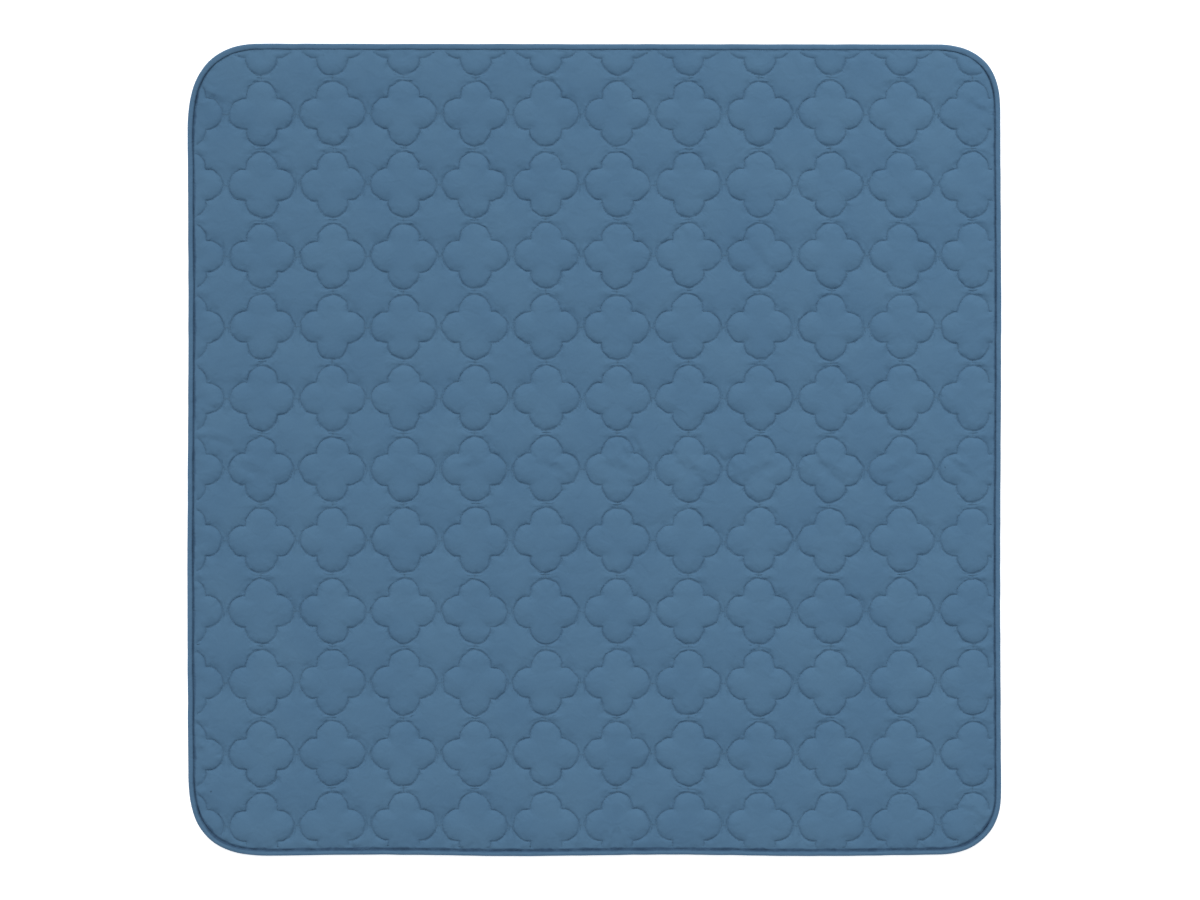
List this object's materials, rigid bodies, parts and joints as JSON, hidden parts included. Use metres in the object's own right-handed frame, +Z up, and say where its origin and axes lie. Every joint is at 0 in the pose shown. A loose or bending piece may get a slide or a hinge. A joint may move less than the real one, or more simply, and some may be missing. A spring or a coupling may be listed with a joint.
{
  "type": "padded blanket",
  "caption": "Square padded baby blanket, quilted all over in a four-lobed trellis, with rounded corners and a narrow folded binding, lying flat.",
  "frame": {"origin": "the middle of the underside, on the surface that the blanket lies on", "axes": "+Z up, out of the face that shows; +Y towards the back edge, which is the picture's upper edge; +X to the right"},
  "size_m": [0.801, 0.7995, 0.0079],
  "materials": {
    "quilted_cotton": "matte",
    "binding_cotton": "matte"
  },
  "bodies": {
    "root": {"quilted_panel": "quilted_cotton", "edge_binding": "binding_cotton"}
  },
  "joints": []
}
